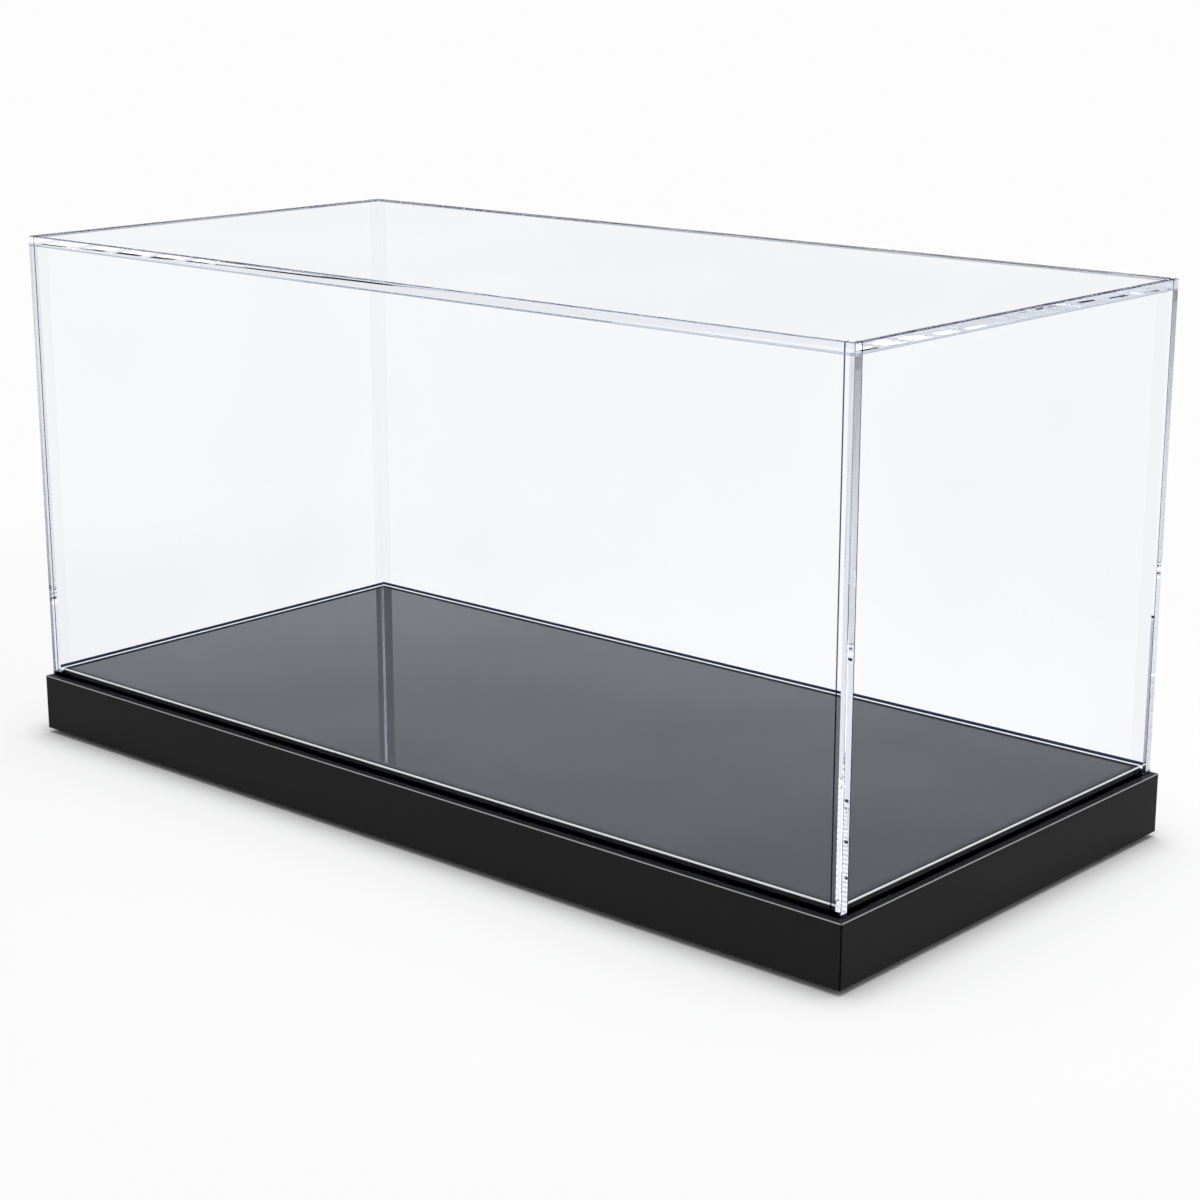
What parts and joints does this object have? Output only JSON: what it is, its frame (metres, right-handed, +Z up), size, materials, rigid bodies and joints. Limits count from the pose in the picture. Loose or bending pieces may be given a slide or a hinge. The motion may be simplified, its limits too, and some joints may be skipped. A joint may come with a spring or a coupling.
{
  "type": "acrylic display case",
  "caption": "Long clear acrylic cover that lifts off a low black plinth with a raised gloss-black deck, for showing a model or collectible.",
  "frame": {"origin": "centre of the footprint, on the surface that the feet stand on", "axes": "+Z up, +X along the length, -Y towards the front"},
  "size_m": [0.36, 0.172, 0.1817],
  "materials": {
    "clear_acrylic": "clear sheet with polished edges",
    "satin_black_acrylic": "satin",
    "gloss_black_acrylic": "high gloss",
    "bumper_rubber": "matte"
  },
  "bodies": {
    "base": {"front_skirt": "satin_black_acrylic", "back_skirt": "satin_black_acrylic", "left_skirt": "satin_black_acrylic", "right_skirt": "satin_black_acrylic", "platform_sheet": "gloss_black_acrylic", "deck_plate": "gloss_black_acrylic", "corner_block_front_left": "gloss_black_acrylic", "corner_block_front_right": "gloss_black_acrylic", "corner_block_back_right": "gloss_black_acrylic", "corner_block_back_left": "gloss_black_acrylic", "foot_front_left": "bumper_rubber", "foot_front_right": "bumper_rubber", "foot_back_right": "bumper_rubber", "foot_back_left": "bumper_rubber"},
    "cover": {"top_panel": "clear_acrylic", "front_panel": "clear_acrylic", "back_panel": "clear_acrylic", "left_end_panel": "clear_acrylic", "right_end_panel": "clear_acrylic"}
  },
  "joints": [
    {"name": "cover_lift", "type": "slide", "parent": "base", "child": "cover", "axis": [0, 0, 1], "range_m": [0, 0.17]}
  ]
}
